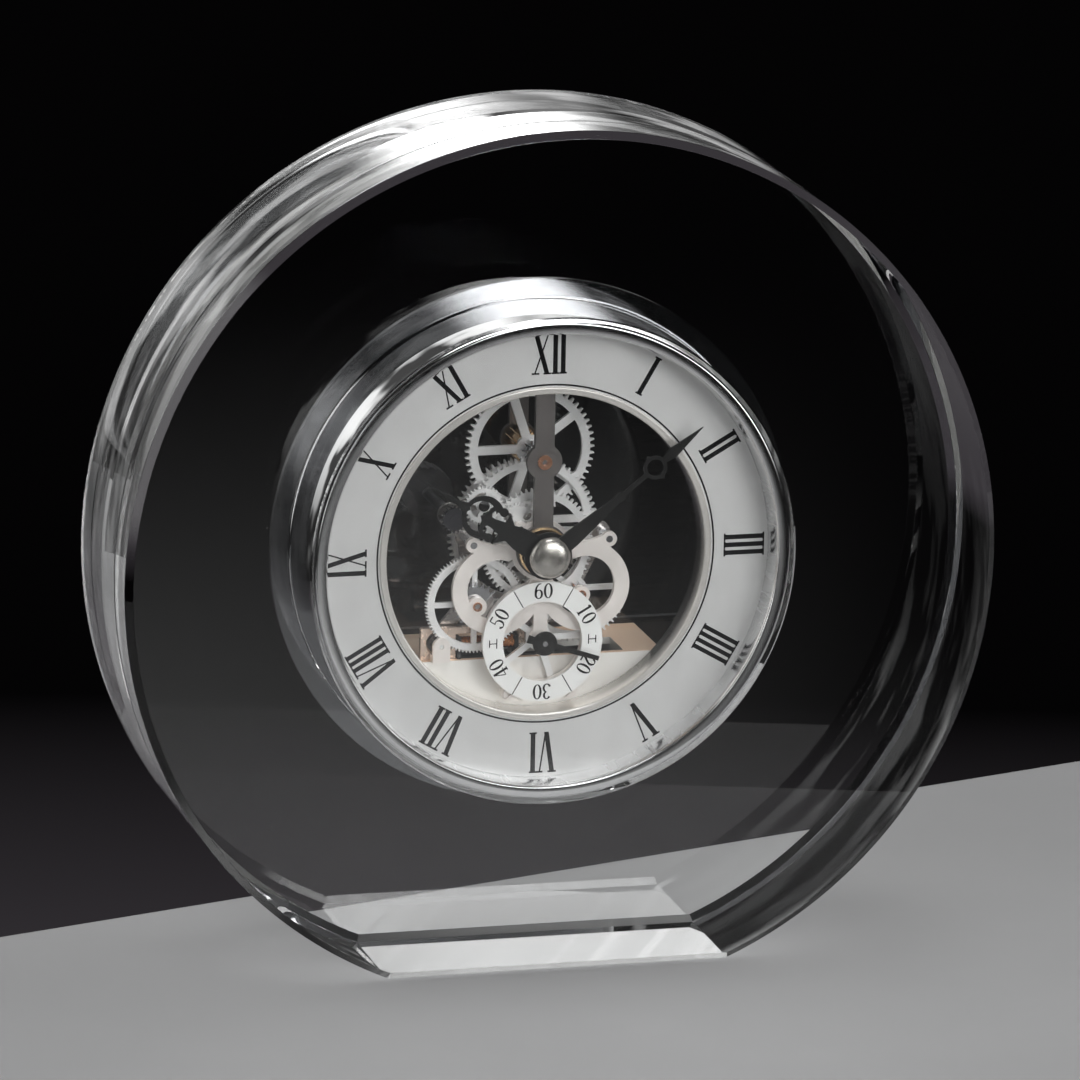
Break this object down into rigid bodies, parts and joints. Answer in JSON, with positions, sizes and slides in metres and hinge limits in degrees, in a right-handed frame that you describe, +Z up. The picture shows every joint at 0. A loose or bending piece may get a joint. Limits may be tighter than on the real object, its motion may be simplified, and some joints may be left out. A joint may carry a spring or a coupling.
{
  "type": "award clock",
  "caption": "Desk award clock: a thick clear crystal disc on a flat foot, with a round skeleton clock let in from the back.",
  "frame": {"origin": "centre of the flat foot that the disc stands on", "axes": "+Z up, the dial faces -Y, +X to the right as seen by someone reading the dial"},
  "size_m": [0.15, 0.0464, 0.1439],
  "materials": {
    "crystal": "polished",
    "lens_glass": "polished",
    "rubber": "matte",
    "case_steel": "polished",
    "polished_chrome": "polished",
    "silver_dial": "fine satin",
    "white_dial": "fine satin",
    "plate_steel": "satin",
    "arbor_steel": "polished",
    "dark_bridge": "satin, dark plated",
    "pale_bridge": "fine satin",
    "copper_bush": "polished",
    "brass": "polished",
    "bright_wheel": "bright",
    "magnet": "plated",
    "white_plastic": "satin",
    "motor_iron": "satin",
    "black_plastic": "satin",
    "copper_wire": "lacquered",
    "hand_black": "semi-gloss",
    "nickel": "polished",
    "base_metal": "polished",
    "board": "satin",
    "cell_case": "gloss",
    "spring_bronze": "satin"
  },
  "bodies": {
    "case": {"crystal_block": "crystal", "gasket": "rubber", "case_tube": "case_steel", "front_bezel": "polished_chrome", "front_lens": "lens_glass", "dial_spacer": "polished_chrome", "chapter_ring": "silver_dial", "window_flange": "polished_chrome", "movement_ring": "plate_steel", "movement_screws": "arbor_steel", "upper_bridge": "dark_bridge", "heart_bridge": "pale_bridge", "bridge_screws": "arbor_steel", "pivot_bushes": "copper_bush", "centre_bush": "brass", "bridge_pillars": "arbor_steel", "middle_plate": "plate_steel", "rear_plate": "dark_bridge", "seconds_dial": "white_dial", "minute_wheel_stud": "arbor_steel", "rotor_bridge": "pale_bridge", "stator": "motor_iron", "coil_bobbin": "black_plastic", "coil_winding": "copper_wire", "idler_stud": "arbor_steel", "rear_wheel_stud": "arbor_steel", "setting_wheel_stud": "arbor_steel", "movement_base": "base_metal", "circuit_board": "board", "battery": "cell_case", "battery_contacts": "spring_bronze", "rear_cover": "black_plastic", "rear_lens": "lens_glass"},
    "seconds": {"seconds_wheel": "bright_wheel", "seconds_arbor": "arbor_steel", "seconds_hand": "hand_black"},
    "intermediate": {"intermediate_wheel": "bright_wheel", "intermediate_arbor": "arbor_steel"},
    "rotor": {"rotor_magnet": "magnet", "rotor_arbor": "white_plastic"},
    "third": {"third_wheel": "bright_wheel", "third_arbor": "arbor_steel"},
    "centre_wheel": {"centre_wheel": "bright_wheel"},
    "minutes": {"centre_arbor": "arbor_steel", "cannon_pinion": "arbor_steel", "clutch_washer": "brass", "minute_hand": "hand_black", "cap_nut": "nickel"},
    "minute_wheel": {"minute_wheel": "bright_wheel"},
    "hours": {"hour_wheel": "bright_wheel", "hour_hand": "hand_black"},
    "setting_wheel": {"setting_wheel": "bright_wheel"},
    "setting_shaft": {"setting_shaft": "arbor_steel", "setting_knob": "black_plastic"},
    "idler": {"idler_wheel": "bright_wheel"},
    "great": {"great_wheel": "bright_wheel", "great_arbor": "arbor_steel", "great_pinion": "brass"},
    "rear_wheel": {"rear_wheel": "bright_wheel"},
    "door": {"battery_door": "black_plastic"}
  },
  "joints": [
    {"name": "seconds_spin", "type": "hinge", "parent": "case", "child": "seconds", "pos_m": [0, 0, 0.05339], "axis": [0, 1, 0], "continuous": true},
    {"name": "intermediate_spin", "type": "hinge", "parent": "case", "child": "intermediate", "pos_m": [-0.011, 0, 0.05954], "axis": [0, 1, 0], "continuous": true},
    {"name": "rotor_spin", "type": "hinge", "parent": "case", "child": "rotor", "pos_m": [-0.01685, 0, 0.05257], "axis": [0, 1, 0], "continuous": true},
    {"name": "third_spin", "type": "hinge", "parent": "case", "child": "third", "pos_m": [0.00708, 0, 0.06073], "axis": [0, 1, 0], "continuous": true},
    {"name": "centre_wheel_spin", "type": "hinge", "parent": "case", "child": "centre_wheel", "pos_m": [0, 0, 0.06889], "axis": [0, 1, 0], "continuous": true},
    {"name": "minute_spin", "type": "hinge", "parent": "case", "child": "minutes", "pos_m": [0, 0, 0.06889], "axis": [0, 1, 0], "continuous": true},
    {"name": "minute_wheel_spin", "type": "hinge", "parent": "case", "child": "minute_wheel", "pos_m": [-0.00368, 0, 0.07257], "axis": [0, 1, 0], "continuous": true},
    {"name": "hour_spin", "type": "hinge", "parent": "case", "child": "hours", "pos_m": [0, 0, 0.06889], "axis": [0, 1, 0], "continuous": true},
    {"name": "setting_wheel_spin", "type": "hinge", "parent": "case", "child": "setting_wheel", "pos_m": [-0.00965, 0, 0.07649], "axis": [0, 1, 0], "continuous": true},
    {"name": "setting_knob_spin", "type": "hinge", "parent": "case", "child": "setting_shaft", "pos_m": [-0.0146, 0, 0.07429], "axis": [0, 1, 0], "continuous": true},
    {"name": "idler_spin", "type": "hinge", "parent": "case", "child": "idler", "pos_m": [0, 0, 0.07204], "axis": [0, 1, 0], "continuous": true},
    {"name": "great_spin", "type": "hinge", "parent": "case", "child": "great", "pos_m": [0, 0, 0.08429], "axis": [0, 1, 0], "continuous": true},
    {"name": "rear_wheel_spin", "type": "hinge", "parent": "case", "child": "rear_wheel", "pos_m": [0, 0, 0.06889], "axis": [0, 1, 0], "continuous": true},
    {"name": "battery_door_pull", "type": "slide", "parent": "case", "child": "door", "axis": [0, 1, 0], "range_m": [0, 0.012]}
  ],
  "couplings": [
    {"joint": "intermediate_spin", "follows": "seconds_spin", "ratio": -2.5},
    {"joint": "rotor_spin", "follows": "seconds_spin", "ratio": 30},
    {"joint": "third_spin", "follows": "seconds_spin", "ratio": -0.13333},
    {"joint": "centre_wheel_spin", "follows": "seconds_spin", "ratio": 0.016667},
    {"joint": "minute_wheel_spin", "follows": "minute_spin", "ratio": -0.33333},
    {"joint": "hour_spin", "follows": "minute_spin", "ratio": 0.083333},
    {"joint": "setting_wheel_spin", "follows": "minute_spin", "ratio": 0.4},
    {"joint": "setting_knob_spin", "follows": "minute_spin", "ratio": -0.6},
    {"joint": "idler_spin", "follows": "minute_spin", "ratio": -1},
    {"joint": "great_spin", "follows": "minute_spin", "ratio": 7.75},
    {"joint": "rear_wheel_spin", "follows": "minute_spin", "ratio": -1.5069}
  ]
}
